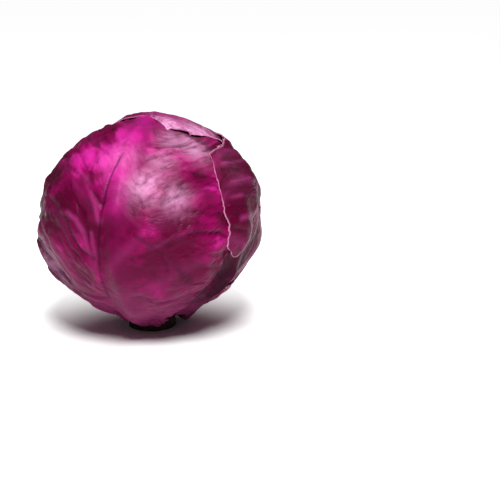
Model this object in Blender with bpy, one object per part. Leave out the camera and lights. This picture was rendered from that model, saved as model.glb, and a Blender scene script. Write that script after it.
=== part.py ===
"""A whole head of red cabbage, as it stands on a table on its cut stump.

The head is a dense heart of packed inner leaves with six wrapper leaves laid over it, one on
another. Every surface is a height above one smooth head form, along rays from the head's centre,
so leaves that overlap lie in layers and never cross. Metres, +Z up, the stump's cut face at z = 0,
and the front of the head towards -Y.
"""

import math
from dataclasses import dataclass

import bmesh
import bpy
import numpy as np

# The head: half sizes of the heart's form, and the height of its centre over the table.
CENTRE_HEIGHT = 0.0775
HEART_HALF_WIDTH = 0.0740
HEART_TOP = 0.0690
HEART_BOTTOM = 0.0660

# The leaves: blade, side veins, and the clearance that keeps one leaf off the next.
BLADE = 0.0010
SIDE_VEIN = 0.0008
CLEARANCE = 0.0010
LAYER = BLADE + SIDE_VEIN + CLEARANCE
SKIRT_START = math.radians(5.0)
SKIRT_WIDTH = math.radians(16.0)
FREE_START = math.radians(12.0)

# The stalk end of a leaf, where it was joined to the stump.
STALK_ANGLE = 15.5
STALK_HALF_WIDTH = 13.5
RIB_AT_STALK = 0.0042
RIB_AT_TIP = 0.0004
RIB_HALF_WIDTH_AT_STALK = 10.5
RIB_HALF_WIDTH_AT_TIP = 1.6

# The stump.
STUMP_RADIUS = 0.0165
STUMP_FLARE = 1.05
STUMP_BEVEL = 0.0012
STUMP_SIDES = 28
STUMP_TOP = 0.0147
JOINT_GAP = 0.0003
HEART_CLEARANCE = 0.0006

# How finely the surfaces are divided.
ROWS_PER_VEIN = 3
BLADE_COLUMNS = 9
HEART_RINGS = 18
HEART_SEGMENTS = 30


@dataclass
class Leaf:
    """One wrapper leaf. Angles in degrees: azimuth from the front to the right, the rest over the head."""

    name: str
    azimuth: float
    tip: float
    left: float
    right: float
    veins: int = 9
    low_power: float = 1.8
    right_low_power: float = 1.8
    top_power: float = 0.6
    right_top_power: float = 0.6
    bow: float = 0.0
    lean: float = 0.0
    rib_shift: float = 0.0
    lift: float = 0.0
    stalk_rib: float = RIB_AT_STALK
    waves: float = 5.0
    phase: float = 0.0


# From the heart outwards. Each is laid over those before it.
LEAVES = (
    Leaf("leaf_lower_back", 150, 158, 62, 62, veins=7, phase=0.7),
    Leaf("leaf_left", 258, 168, 66, 66, veins=8, bow=3, lift=0.0014, phase=2.1),
    Leaf("leaf_lower_right", 58, 166, 62, 60, veins=8, bow=-3, phase=4.0),
    Leaf(
        "leaf_front", -16, 180, 66, 68, right_low_power=2.6, top_power=0.5, right_top_power=0.26,
        bow=-8, rib_shift=7, lift=0.0012, stalk_rib=0.0085, phase=1.2,
    ),
    Leaf("leaf_back", 197.5, 199, 66, 42, right_top_power=6.0, lean=-12, lift=0.0003, waves=6, phase=0.4),
    Leaf(
        "leaf_right", 112.5, 157, 75, 62, veins=8, low_power=3.0, right_low_power=3.0, top_power=0.34,
        bow=2, lift=0.0006, phase=3.1,
    ),
)

# Where the head is flatter or fuller than a ball: azimuth, elevation, height in metres, spread in degrees.
FLATS = (
    (-72, 50, -0.0022, 30),
    (60, 62, -0.0016, 24),
    (-60, -48, -0.0030, 24),
    (62, -45, -0.0040, 24),
    (20, 8, 0.0012, 30),
    (175, -10, -0.0030, 40),
    (130, 48, -0.0024, 28),
    (0, -90, -0.0025, 20),
)
DENT = 0.00055

# Finishes: colour, roughness.
LEAF_SKIN = ((0.33, 0.012, 0.125, 1.0), 0.38)
INNER_SKIN = ((0.22, 0.010, 0.090, 1.0), 0.45)
STUMP_FLESH = ((0.52, 0.40, 0.30, 1.0), 0.70)

# What is torn out of the right leaf: points (along, across) on it, in degrees. A bay behind its low front
# corner, and the top, which falls back from its high front corner.
TORN = (
    ((56, -82), (67, -65.5), (82, -60.5), (99, -54), (104, -38), (104, -16), (72, -12), (46, -17), (40, -66)),
    ((159, -42), (152, -35), (145, -28), (140, -14), (139, 4), (136, 24), (139, 50), (172, 50), (172, -30)),
)


def smooth(x):
    """An even step from 0 to 1 as x goes from 0 to 1."""
    x = np.clip(x, 0.0, 1.0)
    return x * x * (3.0 - 2.0 * x)


def ray(azimuth, elevation):
    """The unit vector from the head's centre at an azimuth and an elevation in degrees."""
    a, e = math.radians(azimuth), math.radians(elevation)
    return np.array([math.cos(e) * math.sin(a), -math.cos(e) * math.cos(a), math.sin(e)])


def head_form(d):
    """The smooth head's radius along the unit vectors d: an oblate ball with flats, full spots and soft dents."""
    polar = np.where(d[..., 2] > 0, HEART_TOP, HEART_BOTTOM)
    flat = (d[..., 0] ** 2 + d[..., 1] ** 2) / HEART_HALF_WIDTH**2
    radius = 1.0 / np.sqrt(flat + d[..., 2] ** 2 / polar**2)
    for azimuth, elevation, height, spread in FLATS:
        nearness = d @ ray(azimuth, elevation) - 1.0
        radius = radius + height * np.exp(nearness / (1.0 - math.cos(math.radians(spread))))
    x, y, z = d[..., 0], d[..., 1], d[..., 2]
    waves = np.sin(9.1 * x + 1.3) * np.sin(8.3 * z + 0.4) + np.sin(8.7 * y + 2.1) * np.sin(10.7 * z + 4.0)
    waves = waves + np.sin(14.0 * x + 5.0 * z) * np.sin(13.0 * y - 4.0 * z + 1.0)
    return radius + DENT * waves


def axes_of(leaf):
    """The leaf's outward and sideways directions, level with the table."""
    return ray(leaf.azimuth, 0.0), ray(leaf.azimuth + 90.0, 0.0)


def midrib_offset(leaf, along):
    """How far the midrib stands to the side of its meridian, in radians."""
    share = np.clip((along - math.radians(STALK_ANGLE)) / math.radians(leaf.tip - STALK_ANGLE), 0.0, 1.0)
    return np.radians(leaf.bow) * np.sin(math.pi * share) + np.radians(leaf.lean) * share**2


def to_ray(leaf, along, across):
    """Unit vectors at angles along the midrib from the underside, and across it to the right."""
    out, side = axes_of(leaf)
    across = across + midrib_offset(leaf, along)
    level = (np.cos(across) * np.sin(along))[..., None] * out
    up = (-np.cos(across) * np.cos(along))[..., None] * np.array([0.0, 0.0, 1.0])
    return level + up + np.sin(across)[..., None] * side


def from_ray(leaf, d):
    """The angles along and across the leaf of unit vectors d."""
    out, side = axes_of(leaf)
    along = np.arctan2(d @ out, -d[..., 2])
    along = np.where(along < -math.pi / 3, along + 2.0 * math.pi, along)
    across = np.arcsin(np.clip(d @ side, -1.0, 1.0))
    return along, across - midrib_offset(leaf, along)


def margin(leaf, side, count):
    """Points (along, across) on one side's margin, evenly spaced from the stalk to the tip."""
    turn = np.linspace(0.0, math.pi, 400)
    low, high = math.radians(STALK_ANGLE), math.radians(leaf.tip)
    along = (low + high) / 2 - (high - low) / 2 * np.cos(turn)
    top_power = leaf.top_power if side < 0 else leaf.right_top_power
    low_power = leaf.low_power if side < 0 else leaf.right_low_power
    power = np.where(turn < math.pi / 2, low_power, top_power)
    widest = math.radians(leaf.left if side < 0 else leaf.right)
    ends = np.interp(turn, (0.0, math.pi), (math.radians(STALK_HALF_WIDTH), math.radians(7.0)))
    across = np.sqrt((widest * np.sin(turn) ** power) ** 2 + ends**2)
    across = across * (1.0 + 0.025 * np.sin(leaf.waves * turn + leaf.phase + side) * np.sin(turn))
    steps = np.hypot(np.diff(along) * np.cos(across[1:]), np.diff(across))
    length = np.concatenate([[0.0], np.cumsum(steps)])
    places = np.linspace(0.0, length[-1], count)
    return np.interp(places, length, along), side * np.interp(places, length, across)


def outline(leaf, count=40):
    """The leaf's whole outline as a closed ring of points (along, across)."""
    right_along, right_across = margin(leaf, 1, count)
    left_along, left_across = margin(leaf, -1, count)
    return np.concatenate([right_along, left_along[::-1]]), np.concatenate([right_across, left_across[::-1]])


def reach(leaf, d):
    """The angle from each of d to the leaf's margin, negative on the leaf itself."""
    ring_along, ring_across = outline(leaf)
    ring = to_ray(leaf, ring_along, ring_across)
    distance = np.full(d.shape[:-1], 9.0)
    along, across = from_ray(leaf, d)
    inside = np.zeros(d.shape[:-1], bool)
    for i in range(len(ring)):
        a, b = ring[i - 1], ring[i]
        edge = b - a
        share = np.clip(((d - a) @ edge) / max(edge @ edge, 1e-12), 0.0, 1.0)
        distance = np.minimum(distance, np.linalg.norm(d - a - share[..., None] * edge, axis=-1))
        rises = (ring_across[i - 1] > across) != (ring_across[i] > across)
        slope = (ring_along[i] - ring_along[i - 1]) / (ring_across[i] - ring_across[i - 1] + 1e-12)
        inside ^= rises & (along < ring_along[i - 1] + slope * (across - ring_across[i - 1]))
    return np.where(inside, -distance, distance)


def cover(leaf, d):
    """1 on the leaf and a little past its margin, then an even fall to 0."""
    closing = 0.35 + 0.65 * smooth((d[..., 2] + 1.0) / 0.4)
    return 1.0 - smooth((reach(leaf, d) - SKIRT_START * closing) / (SKIRT_WIDTH * closing))


def rib(leaf, along, across, spread=1.0):
    """The height of the midrib over the blade: tall and broad at the stalk, low and narrow at the tip."""
    share = np.clip((along - math.radians(STALK_ANGLE)) / math.radians(leaf.tip - STALK_ANGLE), 0.0, 1.0)
    across = across - math.radians(leaf.rib_shift) * np.sin(math.pi * share)
    height = RIB_AT_TIP + (leaf.stalk_rib - RIB_AT_TIP) * (1.0 - share) ** 2.2
    fall = (1.0 - share) ** 2
    half = RIB_HALF_WIDTH_AT_TIP + (RIB_HALF_WIDTH_AT_STALK - RIB_HALF_WIDTH_AT_TIP) * fall
    return height * (1.0 - smooth(np.abs(across) / (np.radians(half) * 1.5 * spread)))


def bed(index, d):
    """The radius of the surface that leaf number index lies on: the heart and every leaf beneath it."""
    height = head_form(d) + CLEARANCE
    for below in LEAVES[:index]:
        along, across = from_ray(below, d)
        height = height + cover(below, d) * (LAYER + rib(below, along, across, spread=1.6))
    return height


def free_edge(index, d):
    """1 where nothing lies over leaf number index, 0 where a later leaf holds it down."""
    free = np.ones(d.shape[:-1])
    for above in LEAVES[index + 1 :]:
        free = free * smooth((reach(above, d) - FREE_START) / SKIRT_WIDTH)
    return free


def leaf_columns(leaf, along, margins):
    """The angles across one side of the leaf at each row: the rib's crest, its foot, then even steps to the margin."""
    share = np.clip((along - math.radians(STALK_ANGLE)) / math.radians(leaf.tip - STALK_ANGLE), 0.0, 1.0)
    foot = RIB_HALF_WIDTH_AT_TIP + (RIB_HALF_WIDTH_AT_STALK - RIB_HALF_WIDTH_AT_TIP) * (1.0 - share) ** 2
    foot = np.minimum(np.radians(foot), 0.75 * np.abs(margins))
    steps = np.linspace(0.0, 1.0, BLADE_COLUMNS + 1)
    columns = [0.5 * foot] + [foot + (np.abs(margins) - foot) * step for step in steps]
    return np.array(columns).T


def leaf_grid(leaf):
    """Angles along and across the leaf, and each point's place between side veins and from rib to margin.

    A row follows a side vein, from the midrib out to the margin, so that veins run along the mesh.
    """
    rows = leaf.veins * ROWS_PER_VEIN + 1
    share = np.linspace(0.0, 1.0, rows)
    spine = math.radians(STALK_ANGLE) + math.radians(leaf.tip - STALK_ANGLE) * (0.22 * share + 0.78 * share**2)
    along, across, out = [spine], [np.zeros(rows)], [np.zeros(rows)]
    for side in (-1, 1):
        edge_along, edge_across = margin(leaf, side, rows)
        columns = leaf_columns(leaf, spine, edge_across)
        for column in columns.T:
            part = np.clip(column / np.abs(edge_across), 0.0, 1.0)
            along.insert(0 if side < 0 else len(along), spine + (edge_along - spine) * (1 - (1 - part) ** 1.25))
            across.insert(0 if side < 0 else len(across), side * column)
            out.insert(0 if side < 0 else len(out), part)
    place = np.tile(share * leaf.veins, (len(along), 1))
    return np.array(along), np.array(across), place, np.array(out)


def side_veins(place, out):
    """The height of the side veins, which fade towards the margin, the stalk and the tip."""
    crest = (0.5 + 0.5 * np.cos(2.0 * math.pi * place)) ** 1.3
    fade = smooth(place / 1.5) * smooth((place.max() - place) / 0.8) * smooth(out / 0.15)
    return SIDE_VEIN * crest * fade * (1.0 - 0.55 * out)


def build_leaf(index, material):
    """A wrapper leaf as a closed blade: an outer skin with its ribs raised, an inner skin, and the margin between."""
    leaf = LEAVES[index]
    along, across, place, out = leaf_grid(leaf)
    d = to_ray(leaf, along, across)
    inner = bed(index, d)
    ripple = 0.6 + 0.4 * np.sin(leaf.waves * 3.0 * along + leaf.phase + np.sign(across))
    inner = inner + leaf.lift * smooth((out - 0.72) / 0.28) * ripple * free_edge(index, d)
    outer = inner + BLADE + rib(leaf, along, across) + side_veins(place, out)
    mesh = bmesh.new()
    sheets = []
    for radius in (outer, inner):
        points = d * radius[..., None]
        sheets.append([[mesh.verts.new(p + [0.0, 0.0, CENTRE_HEIGHT]) for p in column] for column in points])
    columns, rows = along.shape
    for i in range(columns - 1):
        for j in range(rows - 1):
            close_cell(mesh, sheets, (i, j), (i + 1, j), (i + 1, j + 1), (i, j + 1))
    ring = [(i, 0) for i in range(columns)] + [(columns - 1, j) for j in range(1, rows)]
    ring += [(i, rows - 1) for i in range(columns - 2, -1, -1)] + [(0, j) for j in range(rows - 2, 0, -1)]
    top, under = sheets
    for (i, j), (k, m) in zip(ring, ring[1:] + ring[:1]):
        mesh.faces.new((top[k][m], top[i][j], under[i][j], under[k][m]))
    return finish(leaf.name, mesh, material)


def close_cell(mesh, sheets, a, b, c, d):
    """One cell of the blade as two triangles on the outer skin and the same two, turned over, on the inner."""
    top, under = sheets
    for corners in ((a, b, c), (a, c, d)):
        mesh.faces.new([top[i][j] for i, j in corners])
        mesh.faces.new([under[i][j] for i, j in reversed(corners)])


def build_heart(material):
    """The packed inner leaves: one dense ball, its skin ribbed and stepped where the next leaves overlap."""
    mesh = bmesh.new()
    polar = np.linspace(0.0, math.pi, HEART_RINGS + 1)[1:-1]
    turn = np.linspace(0.0, 2.0 * math.pi, HEART_SEGMENTS, endpoint=False)
    polar, turn = np.meshgrid(polar, turn, indexing="ij")
    d = np.stack([np.sin(polar) * np.cos(turn), np.sin(polar) * np.sin(turn), -np.cos(polar)], axis=-1)
    ribs = 0.5 + 0.5 * np.cos(5.0 * turn + 1.4 * polar)
    radius = head_form(d) - HEART_CLEARANCE - 0.0010 * ribs * np.sin(polar)
    points = d * radius[..., None] + [0.0, 0.0, CENTRE_HEIGHT]
    floor = STUMP_TOP + JOINT_GAP
    points[..., 2] = np.maximum(points[..., 2], floor)
    rings = [[mesh.verts.new(p) for p in ring] for ring in points]
    for low, high in zip(rings, rings[1:]):
        for k in range(HEART_SEGMENTS):
            n = (k + 1) % HEART_SEGMENTS
            mesh.faces.new((low[k], low[n], high[n], high[k]))
    mesh.faces.new(rings[0][::-1])
    crown = mesh.verts.new((0.0, 0.0, CENTRE_HEIGHT + float(head_form(np.array([0.0, 0.0, 1.0])))))
    for k in range(HEART_SEGMENTS):
        mesh.faces.new((rings[-1][k], rings[-1][(k + 1) % HEART_SEGMENTS], crown))
    return finish("heart", mesh, material)


def build_stump(material):
    """The short stem left under the head, sawn flat, a little wider at its cut."""
    bpy.ops.mesh.primitive_cone_add(
        vertices=STUMP_SIDES,
        radius1=STUMP_RADIUS * STUMP_FLARE,
        radius2=STUMP_RADIUS * 0.92,
        depth=STUMP_TOP,
        location=(0.0, 0.0, STUMP_TOP / 2),
    )
    stump = bpy.context.object
    stump.name = "stump"
    rounding = stump.modifiers.new("worn_rim", "BEVEL")
    rounding.width = STUMP_BEVEL
    rounding.segments = 2
    rounding.limit_method = "ANGLE"
    stump.data.materials.append(material)
    stump.data.shade_smooth()
    stump.data.set_sharp_from_angle(angle=math.radians(50))
    return stump


def cut_torn(leaf_object, leaf, number, ring):
    """Tears a piece out of a leaf with a wedge that runs from inside the head to outside it."""
    along, across = np.radians(np.array(ring)).T
    d = to_ray(leaf, along, across)
    mesh = bmesh.new()
    near = [mesh.verts.new(p * 0.050 + [0.0, 0.0, CENTRE_HEIGHT]) for p in d]
    far = [mesh.verts.new(p * 0.110 + [0.0, 0.0, CENTRE_HEIGHT]) for p in d]
    mesh.faces.new(near)
    mesh.faces.new(far[::-1])
    for i in range(len(near)):
        mesh.faces.new((near[i - 1], near[i], far[i], far[i - 1]))
    bmesh.ops.triangulate(mesh, faces=mesh.faces)
    cutter = finish(f"torn_cutter_{number}", mesh, leaf_object.data.materials[0])
    cutter.hide_render = True
    cutter.display_type = "WIRE"
    cut = leaf_object.modifiers.new(f"torn_{number}", "BOOLEAN")
    cut.operation = "DIFFERENCE"
    cut.object = cutter


def finish(name, mesh, material):
    """A named object from a bmesh, smooth, with its material."""
    bmesh.ops.recalc_face_normals(mesh, faces=mesh.faces)
    data = bpy.data.meshes.new(name)
    mesh.to_mesh(data)
    mesh.free()
    obj = bpy.data.objects.new(name, data)
    bpy.context.scene.collection.objects.link(obj)
    data.materials.append(material)
    data.shade_smooth()
    return obj


def make_material(name, colour, roughness):
    """A plain finish."""
    material = bpy.data.materials.new(name)
    material.use_nodes = True
    shader = material.node_tree.nodes["Principled BSDF"]
    shader.inputs["Base Color"].default_value = colour
    shader.inputs["Roughness"].default_value = roughness
    shader.inputs["Metallic"].default_value = 0.0
    return material


def main():
    for obj in list(bpy.data.objects):
        bpy.data.objects.remove(obj)
    skin = make_material("leaf_skin", *LEAF_SKIN)
    build_heart(make_material("inner_skin", *INNER_SKIN))
    build_stump(make_material("stump_flesh", *STUMP_FLESH))
    for index, leaf in enumerate(LEAVES):
        blade = build_leaf(index, skin)
        if leaf.name == "leaf_right":
            for number, ring in enumerate(TORN):
                cut_torn(blade, leaf, number, ring)


main()
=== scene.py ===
"""The looks of a whole head of red cabbage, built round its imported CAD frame."""

import math

import bmesh
import bpy
import numpy as np
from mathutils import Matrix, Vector


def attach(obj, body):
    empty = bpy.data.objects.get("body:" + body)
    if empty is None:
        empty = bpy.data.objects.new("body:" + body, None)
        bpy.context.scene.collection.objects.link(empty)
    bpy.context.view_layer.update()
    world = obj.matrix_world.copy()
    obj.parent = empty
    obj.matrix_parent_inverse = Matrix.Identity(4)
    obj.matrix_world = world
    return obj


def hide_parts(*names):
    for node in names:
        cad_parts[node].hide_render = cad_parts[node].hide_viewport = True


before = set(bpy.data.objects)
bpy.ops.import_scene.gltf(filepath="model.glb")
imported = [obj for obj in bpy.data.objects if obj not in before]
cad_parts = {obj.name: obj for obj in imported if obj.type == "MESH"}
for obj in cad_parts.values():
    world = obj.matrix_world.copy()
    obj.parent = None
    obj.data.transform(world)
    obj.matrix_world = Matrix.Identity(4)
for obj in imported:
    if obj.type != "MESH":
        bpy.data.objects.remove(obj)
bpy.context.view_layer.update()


# The heart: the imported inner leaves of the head, dense and smooth, which show only through the
# gaps between the wrapper leaves. Deep red-purple, semi-matt.
CENTRE_HEIGHT = 0.0775
HEART_HALF_WIDTH = 0.0740
HEART_TOP = 0.0690
HEART_BOTTOM = 0.0660
HEART_CLEARANCE = 0.0006
HEART_WAVE = 0.0010
STUMP_TOP = 0.0147
JOINT_GAP = 0.0003
DENT = 0.00055
POLE_HOLE = 0.02
WELD_DISTANCE = 0.00002
# Flats and full spots of the head: azimuth, elevation, height and spread.
FLATS = (
    (-72, 50, -0.0022, 30),
    (60, 62, -0.0036, 24),
    (-60, -48, -0.0030, 24),
    (62, -45, -0.0040, 24),
    (20, 8, 0.0012, 30),
    (175, -10, -0.0030, 40),
    (130, 48, -0.0024, 28),
    (0, -90, -0.0025, 20),
)


def smooth(x):
    """An even step from 0 to 1 as x goes from 0 to 1."""
    x = np.clip(x, 0.0, 1.0)
    return x * x * (3.0 - 2.0 * x)


def ray(azimuth, elevation):
    """The unit vector from the head's centre at an azimuth and an elevation in degrees."""
    a, e = math.radians(azimuth), math.radians(elevation)
    return np.array([math.cos(e) * math.sin(a), -math.cos(e) * math.cos(a), math.sin(e)])


def near_spot(d, azimuth, elevation, spread):
    """1 at a place on the head, falling to 0 over about spread degrees."""
    return np.exp((d @ ray(azimuth, elevation) - 1.0) / (1.0 - math.cos(math.radians(spread))))


def head_form(d):
    """The smooth head's radius along the unit vectors d."""
    polar = np.where(d[..., 2] > 0, HEART_TOP, HEART_BOTTOM)
    flat = (d[..., 0] ** 2 + d[..., 1] ** 2) / HEART_HALF_WIDTH**2
    radius = 1.0 / np.sqrt(flat + d[..., 2] ** 2 / polar**2)
    for azimuth, elevation, height, spread in FLATS:
        radius = radius + height * near_spot(d, azimuth, elevation, spread)
    x, y, z = d[..., 0], d[..., 1], d[..., 2]
    waves = np.sin(9.1 * x + 1.3) * np.sin(8.3 * z + 0.4) + np.sin(8.7 * y + 2.1) * np.sin(10.7 * z + 4.0)
    waves = waves + np.sin(14.0 * x + 5.0 * z) * np.sin(13.0 * y - 4.0 * z + 1.0)
    return radius + DENT * waves


def sheet_object(name, points, masks):
    """A skin through a grid of points (columns, rows, xyz) with its masks as attributes."""
    columns, rows = points.shape[:2]
    bpy.ops.mesh.primitive_grid_add(x_subdivisions=columns - 1, y_subdivisions=rows - 1, size=0.1)
    skin = bpy.context.object
    skin.name = skin.data.name = name
    skin.data.vertices.foreach_set("co", points.transpose(1, 0, 2).astype(np.float32).ravel())
    for mask, values in masks.items():
        attribute = skin.data.attributes.new(mask, "FLOAT", "POINT")
        attribute.data.foreach_set("value", values.T.astype(np.float32).ravel())
    skin.data.update()
    return skin


def apply_modifiers(piece):
    """Applies every modifier on a piece."""
    bpy.ops.object.select_all(action="DESELECT")
    piece.select_set(True)
    bpy.context.view_layer.objects.active = piece
    for modifier in list(piece.modifiers):
        bpy.ops.object.modifier_apply(modifier=modifier.name)


def finish_piece(piece, material, replaced):
    """Gives a piece its material and its place in the frame."""
    piece.data.materials.append(material)
    piece.data.shade_smooth()
    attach(piece, "root")
    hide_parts(replaced)


def new_material(name):
    """A material with its node tree and its main shader."""
    made = bpy.data.materials.new(name)
    made.use_nodes = True
    return made, made.node_tree, made.node_tree.nodes["Principled BSDF"]


def node(tree, kind, **settings):
    """A shader node with its settings."""
    made = tree.nodes.new(kind)
    for key, value in settings.items():
        setattr(made, key, value)
    return made


def feed(tree, sockets, values):
    """Links the values that are sockets, and sets the others."""
    for socket, value in zip(sockets, values):
        if isinstance(value, bpy.types.NodeSocket):
            tree.links.new(value, socket)
        else:
            socket.default_value = value


def mix_colour(tree, factor, first, second):
    """A colour mix. Factor and colours are sockets or values."""
    made = node(tree, "ShaderNodeMix", data_type="RGBA")
    feed(tree, (made.inputs[0], made.inputs[6], made.inputs[7]), (factor, first, second))
    return made.outputs[2]


def math_node(tree, operation, *values, clamp=False):
    """A maths node. Its inputs are sockets or values."""
    made = node(tree, "ShaderNodeMath", operation=operation, use_clamp=clamp)
    feed(tree, made.inputs, values)
    return made.outputs[0]


def noise(tree, vector, scale, detail, roughness=0.5):
    """A noise texture from 0 to 1."""
    made = node(tree, "ShaderNodeTexNoise")
    made.inputs["Scale"].default_value = scale
    made.inputs["Detail"].default_value = detail
    made.inputs["Roughness"].default_value = roughness
    tree.links.new(vector, made.inputs["Vector"])
    return made.outputs[0]


def add_bump(tree, shader, height, strength, distance):
    """Roughens a shader's surface by a height."""
    bump = node(tree, "ShaderNodeBump")
    bump.inputs["Strength"].default_value = strength
    bump.inputs["Distance"].default_value = distance
    tree.links.new(height, bump.inputs["Height"])
    tree.links.new(bump.outputs[0], shader.inputs["Normal"])


heart_material, tree, shader = new_material("heart_skin")
coords = node(tree, "ShaderNodeTexCoord")
mottle = noise(tree, coords.outputs["Object"], 90.0, 5.0)
heart_colour = mix_colour(tree, mottle, (0.060, 0.004, 0.024, 1), (0.16, 0.010, 0.060, 1))
tree.links.new(heart_colour, shader.inputs["Base Color"])
shader.inputs["Roughness"].default_value = 0.5

down = np.linspace(POLE_HOLE, math.pi - POLE_HOLE, 130)
polar, turn = np.meshgrid(down, np.linspace(0, 2 * math.pi, 200), indexing="ij")
d = np.stack([np.sin(polar) * np.cos(turn), np.sin(polar) * np.sin(turn), -np.cos(polar)], axis=-1)
wave = HEART_WAVE * (0.5 + 0.5 * np.cos(5 * turn + 1.4 * polar)) * np.sin(polar)
points = d * (head_form(d) - HEART_CLEARANCE - wave)[..., None] + [0.0, 0.0, CENTRE_HEIGHT]
points[..., 2] = np.maximum(points[..., 2], STUMP_TOP + JOINT_GAP)
points[:, -1] = points[:, 0]
heart = sheet_object("heart_ball", points, {})
heart.modifiers.new("seam", "WELD").merge_threshold = WELD_DISTANCE
apply_modifiers(heart)
finish_piece(heart, heart_material, "heart")


# The stump: the short stem left under the head, sawn flat. Dry wood-like fibres, painted
# near-black brown: painted shade, as the stump stands in the head's shadow.
STUMP_RADIUS = 0.0165
stump_material, tree, shader = new_material("cut_stem")
coords = node(tree, "ShaderNodeTexCoord")
stretch = node(tree, "ShaderNodeMapping")
stretch.inputs["Scale"].default_value = (1.0, 1.0, 0.12)
tree.links.new(coords.outputs["Object"], stretch.inputs["Vector"])
fibres = noise(tree, stretch.outputs[0], 420.0, 6.0)
# Near-black browns: painted shade under the head.
stem_colour_in_shade = mix_colour(tree, fibres, (0.010, 0.004, 0.005, 1), (0.045, 0.022, 0.024, 1))
tree.links.new(stem_colour_in_shade, shader.inputs["Base Color"])
shader.inputs["Roughness"].default_value = 0.8
shader.inputs["Specular IOR Level"].default_value = 0.1
add_bump(tree, shader, fibres, 0.5, 0.0004)

bpy.ops.mesh.primitive_cone_add(
    vertices=96,
    radius1=STUMP_RADIUS * 1.05,
    radius2=STUMP_RADIUS * 0.92,
    depth=STUMP_TOP,
    location=(0, 0, STUMP_TOP / 2),
)
stump = bpy.context.object
stump.name = stump.data.name = "cut_stump"
bpy.ops.object.transform_apply(location=True)
worn = stump.modifiers.new("worn", "BEVEL")
worn.width = 0.0012
worn.segments = 4
worn.limit_method = "ANGLE"
apply_modifiers(stump)
finish_piece(stump, stump_material, "stump")


# The lower back leaf: the innermost of six broad waxy blades that lie one on another over the
# heart. Each has a stout midrib, side veins that fan out to the margin, and blistered skin
# between them: magenta on the ribs, deep red between, dull purple near the stalk.
BLADE = 0.0010
SIDE_VEIN = 0.0008
CLEARANCE = 0.0010
LAYER = BLADE + SIDE_VEIN + CLEARANCE
SKIRT_START = math.radians(5.0)
SKIRT_WIDTH = math.radians(16.0)
UNDERSIDE_SKIRT = 0.35
FREE_START = math.radians(12.0)
PRESSED_WIDTH = math.radians(18.0)
STALK_ANGLE = 15.5
STALK_HALF_WIDTH = 13.5
TIP_HALF_WIDTH = 7.0
RIB_AT_TIP = 0.0004
RIB_HALF_WIDTH_AT_STALK = 10.5
RIB_HALF_WIDTH_AT_TIP = 1.6
MARGIN_WAVE = 0.025
FRAY = 0.010
SNAP = math.radians(0.55)
CRACK_DEPTH = 0.0007
RELIEF_LIMIT = 0.0013
FULL_LINE = 0.0008
FOLD_LIGHT_AND_SHADE = 700.0
RANK = ("leaf_lower_back", "leaf_left", "leaf_lower_right", "leaf_front", "leaf_back", "leaf_right")
COMMON = dict(
    veins=9, low=1.8, right_low=1.8, left_top=0.6, right_top=0.6, bow=0, lean=0, lift=0.0,
    stalk_rib=0.0042, waves=5, phase=0, level=0.0, skirt=1.0, shift=0.0,
)
LEAVES = {
    "leaf_lower_back": dict(COMMON, azimuth=150, tip=158, left=62, right=62, veins=7, phase=0.7),
    "leaf_left": dict(
        COMMON, azimuth=258, tip=168, left=66, right=66, veins=8, bow=3, lift=0.0014, phase=2.1,
    ),
    "leaf_lower_right": dict(
        COMMON, azimuth=58, tip=166, left=62, right=60, veins=8, bow=-3, phase=4.0,
    ),
    "leaf_front": dict(
        COMMON, azimuth=-16, tip=187, left=66, right=68, right_low=2.6, left_top=0.5, right_top=0.26,
        bow=-8, lift=0.0012, stalk_rib=0.0085, phase=1.2, level=0.9, shift=7.0,
    ),
    "leaf_back": dict(
        COMMON, azimuth=197.5, tip=199, left=66, right=42, right_top=6.0, lean=-12, lift=-0.0018,
        skirt=0.15, waves=6, phase=0.4,
    ),
    "leaf_right": dict(
        COMMON, azimuth=112.5, tip=157, left=75, right=62, veins=8, low=3.0, right_low=3.0,
        left_top=0.34, bow=2, lift=-0.0015, phase=3.1,
    ),
}


def cloud(d, cell, seed):
    """Smooth random values from -1 to 1 over the head, with lumps about one cell (metres) across."""
    table = np.random.default_rng(seed).uniform(-1.0, 1.0, (64, 64, 64))
    place = d * (0.078 / cell) + 32.0
    low = np.floor(place).astype(int)
    part = smooth(place - low)
    total = np.zeros(d.shape[:-1])
    for corner in range(8):
        step = np.array([corner & 1, corner >> 1 & 1, corner >> 2])
        weight = np.prod(np.where(step == 1, part, 1.0 - part), axis=-1)
        i, j, k = np.moveaxis((low + step) % 64, -1, 0)
        total = total + weight * table[i, j, k]
    return total


def streaks(u, v, seed):
    """Smooth random values from -1 to 1 on a plane, one lump to each unit of u and v."""
    table = np.random.default_rng(seed).uniform(-1.0, 1.0, (256, 256))
    low_u, low_v = np.floor(u).astype(int), np.floor(v).astype(int)
    part_u, part_v = smooth(u - low_u), smooth(v - low_v)
    total = 0.0
    for i in (0, 1):
        for j in (0, 1):
            weight = (part_u if i else 1.0 - part_u) * (part_v if j else 1.0 - part_v)
            total = total + weight * table[(low_u + i) % 256, (low_v + j) % 256]
    return total


def rib_share(leaf, along):
    """0 at the stalk, 1 at the tip."""
    return np.clip((along - math.radians(STALK_ANGLE)) / math.radians(leaf["tip"] - STALK_ANGLE), 0.0, 1.0)


def leaf_bend(leaf, along):
    """How far the leaf's middle stands to the side of its meridian, in radians."""
    share = rib_share(leaf, along)
    return np.radians(leaf["bow"]) * np.sin(math.pi * share) + np.radians(leaf["lean"]) * share**2


def beside_rib(leaf, along, across):
    """The angle from the crest of the midrib, which may be shifted on the blade."""
    return across - np.radians(leaf["shift"]) * np.sin(math.pi * rib_share(leaf, along))


def rib_half_width(share):
    """Half the midrib's width in degrees, broad at the stalk."""
    return RIB_HALF_WIDTH_AT_TIP + (RIB_HALF_WIDTH_AT_STALK - RIB_HALF_WIDTH_AT_TIP) * (1.0 - share) ** 2


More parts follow.
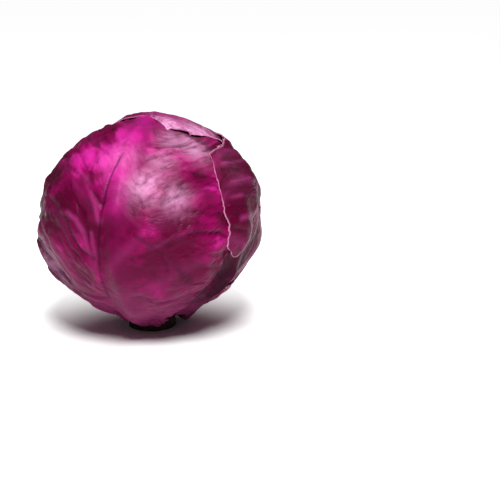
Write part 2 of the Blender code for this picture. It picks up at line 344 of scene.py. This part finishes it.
def rib(leaf, along, across, spread=1.0):
    """The height of the midrib over the blade."""
    share = rib_share(leaf, along)
    height = RIB_AT_TIP + (leaf["stalk_rib"] - RIB_AT_TIP) * (1.0 - share) ** 2.2
    foot = np.radians(rib_half_width(share)) * 1.5 * spread
    return height * (1.0 - smooth(np.abs(beside_rib(leaf, along, across)) / foot))


def to_ray(leaf, along, across):
    """Unit vectors at angles along the midrib from the underside, and across it to the right."""
    out, side = ray(leaf["azimuth"], 0.0), ray(leaf["azimuth"] + 90.0, 0.0)
    across = across + leaf_bend(leaf, along)
    level = (np.cos(across) * np.sin(along))[..., None] * out
    up = (-np.cos(across) * np.cos(along))[..., None] * np.array([0.0, 0.0, 1.0])
    return level + up + np.sin(across)[..., None] * side


def from_ray(leaf, d):
    """The angles along and across the leaf of unit vectors d."""
    out, side = ray(leaf["azimuth"], 0.0), ray(leaf["azimuth"] + 90.0, 0.0)
    along = np.arctan2(d @ out, -d[..., 2])
    along = np.where(along < -math.pi / 3, along + 2.0 * math.pi, along)
    across = np.arcsin(np.clip(d @ side, -1.0, 1.0))
    return along, across - leaf_bend(leaf, along)


def margin(leaf, side, count):
    """Points (along, across) on one side's margin, evenly spaced from the stalk to the tip."""
    turn = np.linspace(0.0, math.pi, 400)
    low, high = math.radians(STALK_ANGLE), math.radians(leaf["tip"])
    along = (low + high) / 2 - (high - low) / 2 * np.cos(turn)
    top = leaf["left_top"] if side < 0 else leaf["right_top"]
    low_power = leaf["low"] if side < 0 else leaf["right_low"]
    power = np.where(turn < math.pi / 2, low_power, top)
    widest = math.radians(leaf["left"] if side < 0 else leaf["right"])
    ends = np.interp(turn, (0.0, math.pi), (math.radians(STALK_HALF_WIDTH), math.radians(TIP_HALF_WIDTH)))
    across = np.sqrt((widest * np.sin(turn) ** power) ** 2 + ends**2)
    wave = np.sin(leaf["waves"] * turn + leaf["phase"] + side) * np.sin(turn)
    across = across * (1.0 + MARGIN_WAVE * wave)
    steps = np.hypot(np.diff(along) * np.cos(across[1:]), np.diff(across))
    length = np.concatenate([[0.0], np.cumsum(steps)])
    places = np.linspace(0.0, length[-1], count)
    return np.interp(places, length, along), side * np.interp(places, length, across)


def reach(leaf, d):
    """The angle from each of d to the leaf's margin, negative on the leaf itself."""
    right_along, right_across = margin(leaf, 1, 40)
    left_along, left_across = margin(leaf, -1, 40)
    ring_along = np.concatenate([right_along, left_along[::-1]])
    ring_across = np.concatenate([right_across, left_across[::-1]])
    ring = to_ray(leaf, ring_along, ring_across)
    along, across = from_ray(leaf, d)
    inside = np.zeros(d.shape[:-1], bool)
    distance = np.full(d.shape[:-1], 9.0)
    for i in range(len(ring)):
        a, b = ring[i - 1], ring[i]
        edge = b - a
        share = np.clip(((d - a) @ edge) / max(edge @ edge, 1e-12), 0.0, 1.0)
        distance = np.minimum(distance, np.linalg.norm(d - a - share[..., None] * edge, axis=-1))
        rises = (ring_across[i - 1] > across) != (ring_across[i] > across)
        slope = (ring_along[i] - ring_along[i - 1]) / (ring_across[i] - ring_across[i - 1] + 1e-12)
        inside ^= rises & (along < ring_along[i - 1] + slope * (across - ring_across[i - 1]))
    return np.where(inside, -distance, distance)


def bed(index, d):
    """The radius of the surface that a leaf lies on: the heart and every leaf beneath it."""
    height = head_form(d) + CLEARANCE
    underside = UNDERSIDE_SKIRT + (1.0 - UNDERSIDE_SKIRT) * smooth((d[..., 2] + 1.0) / 0.4)
    for below in RANK[:index]:
        leaf = LEAVES[below]
        along, across = from_ray(leaf, d)
        gap = reach(leaf, d)
        closing = underside * leaf["skirt"]
        cover = 1.0 - smooth((gap - SKIRT_START * closing) / (SKIRT_WIDTH * closing))
        pressed = min(leaf["lift"], 0.0) * smooth(1.0 + gap / PRESSED_WIDTH)
        height = height + cover * (LAYER + pressed + rib(leaf, along, across, spread=1.6))
    return height


def free_edge(index, d):
    """1 where nothing lies over the leaf, 0 where a later leaf holds it down."""
    free = np.ones(d.shape[:-1])
    for above in RANK[index + 1 :]:
        free = free * smooth((reach(LEAVES[above], d) - FREE_START) / SKIRT_WIDTH)
    return free


def grid_lines(leaf, columns, rows):
    """Angles along and across the leaf on a fine grid whose rows follow the side veins."""
    share = np.linspace(0.0, 1.0, rows)
    length = math.radians(leaf["tip"] - STALK_ANGLE)
    spine = math.radians(STALK_ANGLE) + length * (0.22 * share + 0.78 * share**2)
    part = np.linspace(-1.0, 1.0, columns)
    sides = {side: margin(leaf, side, rows) for side in (-1, 1)}
    along, across = np.zeros((columns, rows)), np.zeros((columns, rows))
    for i, p in enumerate(part):
        edge_along, edge_across = sides[-1 if p < 0 else 1]
        row = share * 0.0 + 7.0 * p
        frayed = streaks(share * 60.0, row, 5) + 0.6 * streaks(share * 150.0, row, 6)
        along[i] = spine + (edge_along - spine) * (1 - (1 - abs(p)) ** 1.25)
        across[i] = abs(p) * edge_across * (1.0 + FRAY * abs(p) ** 12 * frayed)
    place = np.tile(share * leaf["veins"], (columns, 1))
    return along, across, place, np.tile(np.abs(part)[:, None], (1, rows))


def ring_distance(ring, x, y):
    """For points (x, y): the distance to a closed ring, the nearest place on it, and if they are inside."""
    distance = np.full(x.shape, 1e9)
    nearest = np.zeros(x.shape + (2,))
    inside = np.zeros(x.shape, bool)
    for (ax, ay), (bx, by) in zip(ring, ring[1:] + ring[:1]):
        ex, ey = bx - ax, by - ay
        share = np.clip(((x - ax) * ex + (y - ay) * ey) / (ex * ex + ey * ey), 0.0, 1.0)
        px, py = ax + share * ex, ay + share * ey
        gap = np.hypot(x - px, y - py)
        closer = gap < distance
        distance = np.where(closer, gap, distance)
        nearest[closer] = np.stack([px, py], axis=-1)[closer]
        crosses = (ay > y) != (by > y)
        inside ^= crosses & (x < ax + ex * (y - ay) / (ey if ey else 1e-12))
    return distance, nearest, inside


def snap_to_tears(torn, along, across):
    """Moves grid points near a torn edge onto it, and gives the angle to it, negative in the tear."""
    lost = np.full(along.shape, 1e3)
    for ring in torn:
        ring = [(math.radians(a), math.radians(b)) for a, b in ring]
        gap, nearest, inside = ring_distance(ring, along, across)
        near = gap < SNAP
        along = np.where(near, nearest[..., 0], along)
        across = np.where(near, nearest[..., 1], across)
        lost = np.minimum(lost, np.where(near, 0.0, np.where(inside, -gap, gap)))
    return along, across, lost


def keep_faces(blade, lost):
    """Deletes the faces that lie in a torn-out piece."""
    inside = (lost < -1e-9).T.ravel()
    mesh = bmesh.new()
    mesh.from_mesh(blade.data)
    mesh.verts.ensure_lookup_table()
    gone = [face for face in mesh.faces if any(inside[v.index] for v in face.verts)]
    bmesh.ops.delete(mesh, geom=gone, context="FACES")
    mesh.to_mesh(blade.data)
    mesh.free()


def flow(across, place, d, seed, level):
    """Metres out from the midrib, and across the crumples that run out with the side veins, or level."""
    side = smooth(across / 0.30) * level
    flat = 3.13 * (np.arcsin(np.clip(d[..., 2], -1.0, 1.0)) + 1.86) - 0.5 * across
    u = across * 0.080 + 0.003 * cloud(d, 0.020, seed)
    return u, place + side * (flat - place) + 0.20 * cloud(d, 0.024, seed + 1)


def wrinkles(u, v, seed):
    """Puffed skin in three sizes, and the sharp creases between the puffs, along the flow (u, v)."""
    large = 1.8 * np.abs(streaks(u / 0.034 + 60, v * 1.5 + 60, seed + 2))
    middle = 1.8 * np.abs(streaks(u / 0.020 + 60, v * 3.3 + 60, seed + 3))
    small = streaks(u / 0.009 + 60, v * 8.3 + 60, seed + 4)
    line = np.exp(-((large / 0.10) ** 2)) + np.exp(-((middle / 0.13) ** 2))
    return 0.50 * (large - 0.54) + 0.34 * (middle - 0.54) + 0.18 * small, line * smooth(small * 1.5 + 0.1)


def crease(d, path, width):
    """1 along a line through places (azimuth, elevation) on the head, falling to 0 over width degrees."""
    path = [ray(*place) for place in path]
    gap = np.full(d.shape[:-1], 9.0)
    for a, b in zip(path, path[1:]):
        edge = b - a
        share = np.clip(((d - a) @ edge) / (edge @ edge), 0.0, 1.0)
        gap = np.minimum(gap, np.linalg.norm(d - a - share[..., None] * edge, axis=-1))
    return np.exp(-((gap / math.radians(width)) ** 2))


def draw_marks(d, marks, relief, masks):
    """Adds ridges, painted as veins, and grooves, painted with shade. A mark is a height, a width and a path.
    """
    for height, width, path in marks:
        line = crease(d, path, width)
        relief = relief + height * line
        key, paint = ("vein", line * min(1.0, height / FULL_LINE)) if height > 0 else ("groove", line)
        masks[key] = np.maximum(masks[key], paint)
    return relief


def draw_folds(d, folds, relief, masks):
    """Adds soft folds, with painted light where they stand up and painted shade where they sink."""
    for height, width, path in folds:
        line = crease(d, path, width)
        relief = relief + height * line
        masks["tone_and_light"] = masks["tone_and_light"] + FOLD_LIGHT_AND_SHADE * height * line
        if height < 0:
            masks["groove"] = np.maximum(masks["groove"], 0.6 * line)
    return relief


def draw_spots(d, spots, masks):
    """Adds soft spots to a mask. A spot is the mask, azimuth, elevation, spread and strength."""
    for key, azimuth, elevation, spread, strength in spots:
        spot = strength * near_spot(d, azimuth, elevation, spread)
        masks[key] = masks[key] + spot if key == "tone_and_light" else np.maximum(masks[key], spot)


def grow_leaf(
    name, grid, vein, pucker, crumple, marks=(), folds=(), spots=(), torn=(), crinkled=0.7, rim=1.0
):
    """A wrapper leaf: its blade, midrib, side veins, blisters and creases, with masks for its colours and for
    painted light and shade.
    """
    index, leaf = RANK.index(name), LEAVES[name]
    along, across, place, out = grid_lines(leaf, *grid)
    along, across, lost = snap_to_tears(torn, along, across)
    d = to_ray(leaf, along, across)
    share, beside = rib_share(leaf, along), beside_rib(leaf, along, across)

    ripple = 1.0
    if leaf["lift"] >= 0:
        wave = np.sin(leaf["waves"] * 3.0 * along + leaf["phase"] + np.sign(across))
        ripple = (0.6 + 0.4 * wave) * free_edge(index, d)
    inner = bed(index, d) + leaf["lift"] * smooth((out - 0.72) / 0.28) * ripple

    crest = 0.5 + 0.5 * np.cos(2.0 * math.pi * (place + 0.10 * cloud(d, 0.016, 3 + index)))
    fade = smooth(place / 1.5) * smooth((place.max() - place) / 0.8) * smooth(out / 0.12)
    side_vein = crest**5 * fade * (1.0 - 0.45 * out)
    calm = 1.0 - 0.85 * np.exp(-((beside / math.radians(9.0)) ** 2)) * (1.0 - share) ** 0.5
    blister = 0.55 * cloud(d, 0.011, 11 + index) + 0.30 * cloud(d, 0.006, 21 + index)
    run, rise = flow(across, place, d, 71 + 10 * index, leaf["level"])
    puffed, cracks = wrinkles(run, rise, 71 + 10 * index)
    puffed, cracks = puffed * calm, cracks * calm * smooth((calm - 0.3) / 0.5)
    relief = vein * side_vein + (pucker * blister + crumple * puffed) * calm - CRACK_DEPTH * cracks

    edge_gap = np.minimum((1.0 - out) * np.abs(across).max(), 0.5 * np.abs(lost))
    broken = np.clip(0.65 + 0.7 * cloud(d, 0.012, 51 + index), 0.15, 1.0)
    rib_width = rib_half_width(share) * 1.3 + 1.0 + 5.0 * smooth((share - 0.5) / 0.3)
    rib_paint = np.exp(-((beside / np.radians(rib_width)) ** 2))
    blotches = 0.3 * cloud(d, 0.020, 41 + index) + 0.2 * cloud(d, 0.009, 51 + index)
    masks = {
        # The midrib's paler paint, stronger towards the top: partly the rib's own colour, partly painted
        # light from above.
        "rib": rib_paint * (0.08 + 0.92 * smooth((d[..., 2] - 0.12) / 0.5)),
        "vein": np.zeros(along.shape),
        # Painted shade in the creases between the puffs.
        "groove": 0.65 * np.clip(cracks, 0.0, 1.0),
        # Random blotches, plus painted light and shade: lighter on the full puffs and lumps, darker in their
        # hollows, and lighter towards the top where the light falls.
        "tone_and_light": blotches + 1.6 * puffed + 1.2 * blister * calm + 0.35 * smooth((d[..., 2] - 0.4) / 0.5),
        "wax_and_highlight": np.zeros(along.shape),
        "grey_and_shade": np.zeros(along.shape),
        "low": 1.0 - smooth((d[..., 2] + 0.85) / 0.75),
        "rim": rim * (1.0 - smooth(edge_gap / math.radians(0.65))),
        "crinkle": np.full(along.shape, crinkled),
        "run": run + 0.5 * index,
        "rise": 0.025 * rise,
    }
    relief = draw_marks(d, marks, relief, masks)
    relief = draw_folds(d, folds, relief, masks)
    draw_spots(d, spots, masks)
    masks["vein"] = np.maximum(side_vein * vein / FULL_LINE, masks["vein"] * broken)
    masks["crinkle"] = calm * masks["crinkle"]

    settled = 0.25 + 0.75 * smooth(edge_gap / math.radians(2.5))
    relief = RELIEF_LIMIT * np.tanh(relief * settled / RELIEF_LIMIT)
    outer = inner + BLADE + SIDE_VEIN * 0.35 + rib(leaf, along, across) + relief
    blade = sheet_object(name + "_blade", d * outer[..., None] + [0.0, 0.0, CENTRE_HEIGHT], masks)
    if torn:
        keep_faces(blade, lost)
    thick = blade.modifiers.new("thickness", "SOLIDIFY")
    thick.thickness = BLADE
    thick.offset = -1.0
    apply_modifiers(blade)
    finish_piece(blade, leaf_material, name)


# The waxy skin's colours and the share in which each covers what is under it. The shade colour
# is painted shade in creases and grooves, the pale one is whitish wax with painted highlights, and
# the dark greyish one is partly painted shade.
DEEP = (0.075, 0.0008, 0.018, 1)
MID = (0.25, 0.0008, 0.080, 1)
BRIGHT = (0.55, 0.018, 0.28, 1)
VEIN = (0.50, 0.055, 0.27, 1)
PURPLE = (0.185, 0.020, 0.085, 1)
GREY_AND_SHADE = (0.034, 0.008, 0.017, 1)
PALE = (0.62, 0.27, 0.48, 1)
SHADE = (0.018, 0.001, 0.008, 1)
RIM = (0.66, 0.27, 0.44, 1)
VEIN_SHARE = 0.40
RIB_SHARE = 0.45
LOW_SHARE = 0.85
GROOVE_SHARE = 0.65
RIM_SHARE = 0.70
GLOSS = 0.095
GLOSS_TINT = (1.0, 0.50, 0.88, 1)
leaf_material, tree, shader = new_material("waxy_leaf")
coords = node(tree, "ShaderNodeTexCoord")
mask = {}
for key in ("rib", "vein", "groove", "tone_and_light", "wax_and_highlight", "grey_and_shade", "low", "rim", "crinkle", "run", "rise"):
    reader = node(tree, "ShaderNodeAttribute", attribute_name=key, attribute_type="GEOMETRY")
    mask[key] = reader.outputs["Fac"]


def product(first, second):
    """Two masks multiplied, kept between 0 and 1."""
    return math_node(tree, "MULTIPLY", first, second, clamp=True)


def scaled(value, gain, start):
    """value * gain + start, kept between 0 and 1."""
    return math_node(tree, "MULTIPLY_ADD", value, gain, start, clamp=True)


def puffs(length, width):
    """Small puffs between sharp creases along the leaf's flow: 0 in a crease."""
    vector = node(tree, "ShaderNodeCombineXYZ")
    tree.links.new(math_node(tree, "DIVIDE", mask["run"], length), vector.inputs[0])
    tree.links.new(math_node(tree, "DIVIDE", mask["rise"], width), vector.inputs[1])
    middle = math_node(tree, "SUBTRACT", noise(tree, vector.outputs[0], 1.0, 2.0), 0.5)
    return math_node(tree, "MULTIPLY", math_node(tree, "ABSOLUTE", middle), 6.0, clamp=True)


blotch = noise(tree, coords.outputs["Object"], 75.0, 7.0, 0.62)
streak = noise(tree, coords.outputs["Object"], 260.0, 5.0, 0.6)
fine_puffs = math_node(tree, "MULTIPLY", puffs(0.009, 0.0038), 0.38)
puffed = math_node(tree, "MULTIPLY_ADD", puffs(0.020, 0.0100), 0.62, fine_puffs)
puffed = product(puffed, mask["crinkle"])
# Random blotches, darker in the creases between the puffs: partly painted shade.
mottle = math_node(tree, "MULTIPLY_ADD", puffed, 0.55, math_node(tree, "MULTIPLY_ADD", blotch, 1.4, -0.93))
# How dark or bright the skin is, with its painted light and shade, chooses deep, mid or bright.
level = math_node(tree, "ADD", math_node(tree, "MULTIPLY_ADD", mask["tone_and_light"], 0.45, 0.30), mottle)
# Dull greyish paint and painted shade, patchy.
grey_and_shade_paint = product(mask["grey_and_shade"], scaled(blotch, 2.2, -0.4))
# Whitish wax and painted highlight, broken up by streaks and puffs.
wax_and_highlight_paint = product(mask["wax_and_highlight"], scaled(math_node(tree, "ADD", streak, puffed), 1.5, -0.3))
colour = mix_colour(tree, scaled(level, 1.0, 0.0), DEEP, MID)
for share, paint in (
    (scaled(level, 1.4, -0.95), BRIGHT),
    (product(mask["vein"], VEIN_SHARE), VEIN),
    (product(mask["rib"], RIB_SHARE), BRIGHT),
    (product(mask["low"], LOW_SHARE), PURPLE),
    (grey_and_shade_paint, GREY_AND_SHADE),
    (wax_and_highlight_paint, PALE),
    (product(mask["groove"], GROOVE_SHARE), SHADE),
    (product(mask["rim"], RIM_SHARE), RIM),
):
    colour = mix_colour(tree, share, colour, paint)
tree.links.new(colour, shader.inputs["Base Color"])
tree.links.new(scaled(streak, 0.40, 0.18), shader.inputs["Roughness"])
# Less gloss where the greyish paint and painted shade lie.
tree.links.new(scaled(mask["grey_and_shade"], -0.9 * GLOSS, GLOSS), shader.inputs["Specular IOR Level"])
shader.inputs["Specular Tint"].default_value = GLOSS_TINT
add_bump(tree, shader, math_node(tree, "MULTIPLY_ADD", streak, 0.30, puffed), 0.8, 0.0009)

grow_leaf("leaf_lower_back", grid=(110, 150), vein=0.0006, pucker=0.0006, crumple=0.0006)


# The left leaf: a broad wrapper blade that closes the head's left side, its midrib facing left.
# Its margins lie under the front and the back leaf.
grow_leaf("leaf_left", grid=(130, 170), vein=0.0006, pucker=0.0007, crumple=0.0008)


# The lower right leaf: an older wrapper blade, dull and greyish and painted dark with shade, which
# shows between the stalk and the lower margins of the leaves that lie on it. Closely crinkled.
grow_leaf(
    "leaf_lower_right",
    grid=(150, 190),
    vein=0.0005,
    pucker=0.0011,
    crumple=0.0008,
    spots=(("tone_and_light", 50, -30, 30, -1.6), ("grey_and_shade", 50, -30, 30, 1.25)),
    crinkled=1.0,
    rim=0.0,
)


# The front leaf: the big wrapper blade that fills the view, its stout midrib left of the middle
# with a groove down its side, painted with shade, as is the crease under its lower right margin.
# Crumpled skin, painted lighter where it is full, with painted highlights where the light falls on the wax.
GROOVE = (
    (-20.5, 45.5), (-22, 39), (-23, 33.5), (-23.5, 28.5), (-23.5, 24), (-24, 19), (-24.5, 14),
    (-25.5, 6.5), (-26, 0), (-26, -6.5), (-26, -18.5), (-27, -33.5),
)
# A crease under the lower right margin, painted with shade.
LOWER_EDGE = ((39, -6), (38.5, -12.5), (35, -20), (30.5, -26), (27, -31))
LEFT_RIDGE = ((-30, 6), (-28, -2), (-28, -10.5), (-28, -21.5), (-28, -32.5))
FRONT_MARKS = (
    (-0.0008, 0.7, GROOVE),
    (0.0006, 1.2, LEFT_RIDGE),
    (-0.0009, 0.8, LOWER_EDGE),
    (0.0007, 1.3, ((-27, -23), (-30, -6.5), (-33.5, 4.5), (-38.5, 11.5), (-44.5, 14), (-66.5, 12))),
    (0.0006, 1.6, ((-25.5, 12.5), (-28.5, 20), (-34, 27), (-40, 32), (-47.5, 35))),
    (0.0004, 1.6, ((-23.5, 25.5), (-30.5, 39), (-45, 50))),
    (0.0006, 1.2, ((-73, 5.5), (-64.5, 2), (-56, -2.5), (-50.5, -10), (-49, -13.5))),
    (0.0005, 1.1, ((-24, -38), (-29.5, -30), (-33, -20), (-37.5, -11), (-49.5, -8), (-65.5, -7.5))),
    (0.0005, 1.1, ((-25.5, -16.5), (-29, -4.5), (-37, 4), (-59.5, 3))),
    (0.0003, 0.9, ((-56, 46.5), (-37, 39.5), (-34.5, 49.5))),
    (0.0004, 0.6, ((-15.5, 20), (-11.5, 15.5), (-3.5, 9))),
    (0.0003, 1.0, ((9, 16.5), (18, 19.5), (30.5, 25.5), (37.5, 27.5))),
    (0.0002, 0.9, ((-11.5, -7), (-2.5, -11), (8, -10), (16.5, -15.5))),
    (0.0002, 0.8, ((6.5, -5), (13, -12), (20, -9), (31.5, -9))),
    (0.0004, 0.9, ((-6.5, 4.5), (0.5, 0), (10.5, 5), (19.5, 7.5), (37, 4.5))),
    (-0.0009, 0.7, ((21, 7.5), (28.5, 5), (36.5, 4.5))),
    (-0.0008, 0.6, ((6, 53), (17.5, 53.5), (30, 54))),
    (-0.0008, 0.5, ((-6, 24.5), (-3.5, 19.5), (0, 20))),
)
FRONT_FOLDS = (
    (0.0007, 1.6, ((4, 13.5), (12, 17), (21, 19), (35, 19.5))),
    (-0.001, 0.9, ((6, 20.5), (9.5, 23), (15.5, 24.5), (26, 25), (30.5, 25))),
    (-0.0013, 0.7, ((18, 5.5), (26, 5.5), (34.5, 4.5), (38.5, 2))),
    (0.0007, 1, ((-4.5, -2.5), (2, -1), (8, 3), (14.5, 6), (20, 8.5))),
    (-0.0007, 0.9, ((7.5, -6), (14, -12.5), (20.5, -19))),
    (-0.0007, 0.9, ((-7.5, 6.5), (-0.5, 1), (5.5, -3.5), (8, -12))),
    (0.0006, 0.9, ((37, 1), (33.5, -0.5), (30.5, -3.5))),
    (0.0006, 0.8, ((5, 54.5), (28.5, 54.5), (36, 52.5), (50, 46))),
    (0.0006, 0.9, ((21.5, 42.5), (34, 44.5), (46, 46), (58.5, 46))),
    (-0.0008, 0.8, ((15.5, 38), (25.5, 35.5), (35, 32), (40.5, 30.5))),
    (-0.0008, 0.9, ((16, 30), (23, 27), (33.5, 28), (39.5, 26))),
    (-0.0008, 0.8, ((22.5, 16), (29.5, 13.5), (36.5, 13.5))),
    (0.0006, 0.9, ((14, 10.5), (22.5, 11), (35, 10.5))),
)
FRONT_SPOTS = (
    # Dull greyish paint and painted shade low on the left.
    ("grey_and_shade", -66, -22, 18, 0.8),
    # Whitish wax with painted highlights and reflections of the light.
    ("wax_and_highlight", -66, -16, 12, 0.35),
    ("wax_and_highlight", -2, 30.5, 9, 0.75),
    ("wax_and_highlight", 12, 23, 7, 0.6),
    ("wax_and_highlight", 8.5, 43.5, 8, 0.45),
    ("wax_and_highlight", -17, 45, 10, 0.3),
    ("wax_and_highlight", 22, 56, 8, 0.5),
    ("wax_and_highlight", 40, 50, 9, 0.7),
    ("wax_and_highlight", 30, 62, 8, 0.6),
    ("wax_and_highlight", 46, 58, 9, 0.7),
    ("crinkle", 35, 52, 16, 1.0),
    ("tone_and_light", -37, 39.5, 9, -0.3),
    ("tone_and_light", -46.5, 23, 12, -1.8),
    ("tone_and_light", -55.5, 10, 10, -1.1),
    ("tone_and_light", 25.5, 18, 8, -0.8),
    ("tone_and_light", 8.5, 9, 9, -0.9),
    ("tone_and_light", 10.5, -13.5, 9, -0.8),
    ("tone_and_light", -11, 58, 14, 0.6),
    ("tone_and_light", -40, 46, 15, 2.3),
    ("tone_and_light", 18.5, 3, 8, -0.9),
    ("tone_and_light", -45.5, 30, 12, 0.4),
    ("tone_and_light", -22.5, 37, 9, 0.6),
    ("tone_and_light", -18, 40, 9, 0.4),
)
grow_leaf(
    "leaf_front",
    grid=(205, 235),
    vein=0.0002,
    pucker=0.0021,
    crumple=0.0030,
    marks=FRONT_MARKS,
    folds=FRONT_FOLDS,
    spots=FRONT_SPOTS,
    crinkled=0.6,
    rim=0.1,
)


# The back leaf: comes over the top from behind, pale and streaked with wax where it shows at the
# upper right, with a painted pale reflection on it, deep red on the head's far side.
grow_leaf(
    "leaf_back",
    grid=(170, 200),
    vein=0.0005,
    pucker=0.0008,
    crumple=0.0016,
    spots=(("wax_and_highlight", 25, 70, 15, 1.5), ("wax_and_highlight", 62, 60, 13, 1.3), ("tone_and_light", 85, 52, 12, 0.5)),
)


# The right leaf: the outermost, with a dry pale rim down its front margin. A piece is torn out of
# its low front corner and another out of its top.
TORN = (
    ((56, -82), (67, -65.5), (82, -60.5), (99, -54), (104, -38), (104, -16), (72, -12), (46, -17), (40, -66)),
    ((159, -42), (152, -35), (145, -28), (140, -14), (139, 4), (136, 24), (139, 50), (172, 50), (172, -30)),
)
RIGHT_MARKS = (
    (0.0007, 0.8, ((51, 37.5), (61.5, 36), (78.5, 34))),
    (0.0007, 0.8, ((50, 27), (58.5, 26.5), (70.5, 25.5))),
    (0.0006, 1, ((42, 20), (52, 19.5), (74, 17))),
    (0.0007, 1.1, ((48.5, 9), (56, 9.5), (69, 9))),
    (0.0006, 0.9, ((62, 42), (93, 38), (92.5, 36))),
)
RIGHT_FOLDS = (
    (-0.0008, 0.9, ((49, 34.5), (61, 32), (90.5, 28))),
    (-0.0008, 0.9, ((43.5, 24.5), (54.5, 23.5), (77.5, 21))),
    (-0.0009, 0.9, ((41, 16.5), (52.5, 14.5), (75.5, 12.5))),
    (-0.0008, 0.9, ((40.5, 6), (47.5, 4), (55, 0.5))),
)
RIGHT_SPOTS = (
    ("wax_and_highlight", 58, 34, 12, 0.06),
    # Dull greyish paint and painted shade on the far right.
    ("grey_and_shade", 97, 15, 20, 0.6),
    ("tone_and_light", 55, 15, 20, -1.0),
    ("tone_and_light", 75, 20, 20, -0.8),
)
grow_leaf(
    "leaf_right",
    grid=(190, 220),
    vein=0.0005,
    pucker=0.0009,
    crumple=0.0018,
    marks=RIGHT_MARKS,
    folds=RIGHT_FOLDS,
    spots=RIGHT_SPOTS,
    torn=TORN,
)


# The floor: a plain white table that the head stands on. It glows beyond the head's shadow, and
# only behind and before the head, so that it is white in the view and doesn't grey the skin.
GLOW = 0.9
GLOW_START = 0.045
GLOW_FULL = 0.14
SHADOW_FORWARD = 0.030
VIEW_BACK = 0.82
VIEW_SLOPE = 0.086
WEDGE_FULL = 0.24
WEDGE_END = 0.36


def ramp(tree, value, start, end, low, high):
    """A smooth change from low to high as the value goes from start to end."""
    made = node(tree, "ShaderNodeMapRange", interpolation_type="SMOOTHSTEP")
    for key, number in (("From Min", start), ("From Max", end), ("To Min", low), ("To Max", high)):
        made.inputs[key].default_value = number
    tree.links.new(value, made.inputs["Value"])
    return made.outputs[0]


bpy.ops.mesh.primitive_plane_add(size=40.0, location=(0.0, 0.0, 0.0))
floor = bpy.context.object
floor.name = "table_floor"
floor_material, tree, shader = new_material("white_table")
coords = node(tree, "ShaderNodeTexCoord")
moved = node(tree, "ShaderNodeVectorMath", operation="ADD")
moved.inputs[1].default_value = (0.0, SHADOW_FORWARD, 0.0)
tree.links.new(coords.outputs["Object"], moved.inputs[0])
far = node(tree, "ShaderNodeVectorMath", operation="LENGTH")
tree.links.new(moved.outputs[0], far.inputs[0])
split = node(tree, "ShaderNodeSeparateXYZ")
tree.links.new(coords.outputs["Object"], split.inputs[0])
depth = math_node(tree, "ADD", split.outputs["Y"], VIEW_BACK)
slope = math_node(tree, "DIVIDE", split.outputs["X"], depth)
off_axis = math_node(tree, "ABSOLUTE", math_node(tree, "SUBTRACT", slope, VIEW_SLOPE))
beyond = ramp(tree, far.outputs["Value"], GLOW_START, GLOW_FULL, 0.0, GLOW)
wedge = ramp(tree, off_axis, WEDGE_FULL, WEDGE_END, 1.0, 0.0)
tree.links.new(math_node(tree, "MULTIPLY", beyond, wedge), shader.inputs["Emission Strength"])
shader.inputs["Emission Color"].default_value = (1.0, 1.0, 1.0, 1)
shader.inputs["Base Color"].default_value = (0.92, 0.92, 0.92, 1)
shader.inputs["Roughness"].default_value = 0.6
floor.data.materials.append(floor_material)


# The light: a dim room, a little lighter in front, and one large soft light from above the camera.
KEY_AZIMUTH = 2.0
KEY_ELEVATION = 52.0
KEY_DISTANCE = 1.1
KEY_SIZE = 0.42
KEY_POWER = 18.5
ROOM_FRONT = 0.09
ROOM_BACK = 0.07
world = bpy.data.worlds.new("white_room")
bpy.context.scene.world = world
world.use_nodes = True
tree = world.node_tree
sky = tree.nodes["Background"]
sky.inputs["Color"].default_value = (1.0, 1.0, 1.0, 1)
coords = node(tree, "ShaderNodeTexCoord")
facing = node(tree, "ShaderNodeSeparateXYZ")
tree.links.new(coords.outputs["Generated"], facing.inputs[0])
tree.links.new(ramp(tree, facing.outputs["Y"], -0.30, 0.70, ROOM_FRONT, ROOM_BACK), sky.inputs["Strength"])
key_place = ray(KEY_AZIMUTH, KEY_ELEVATION) * KEY_DISTANCE + [0, 0, CENTRE_HEIGHT]
bpy.ops.object.light_add(type="AREA", location=tuple(key_place))
key = bpy.context.object
key.name = "soft_key"
key.data.shape = "DISK"
key.data.size = KEY_SIZE
key.data.energy = KEY_POWER
key.rotation_euler = (math.radians(90 - KEY_ELEVATION), 0.0, math.radians(KEY_AZIMUTH))
bpy.context.scene.view_settings.view_transform = "Standard"


# The camera: at the photograph's viewing angle, a little above the head.
CAMERA_RISE = math.radians(13.0)
CAMERA_DISTANCE = 0.846
AIM_RIGHT = 0.0709
AIM_DOWN = 0.0224
back = np.array([0.0, -math.cos(CAMERA_RISE), math.sin(CAMERA_RISE)])
up = np.array([0.0, math.sin(CAMERA_RISE), math.cos(CAMERA_RISE)])
middle = np.array([0.0, 0.0, CENTRE_HEIGHT])
spot = middle + CAMERA_DISTANCE * back
aim = middle + np.array([AIM_RIGHT, 0.0, 0.0]) - AIM_DOWN * up
camera_data = bpy.data.cameras.new("photo_camera")
camera_data.lens = 85.0
camera_data.sensor_width = 36.0
camera = bpy.data.objects.new("photo_camera", camera_data)
bpy.context.scene.collection.objects.link(camera)
camera.location = spot
camera.rotation_euler = Vector(aim - spot).to_track_quat("-Z", "Y").to_euler()
bpy.context.scene.camera = camera
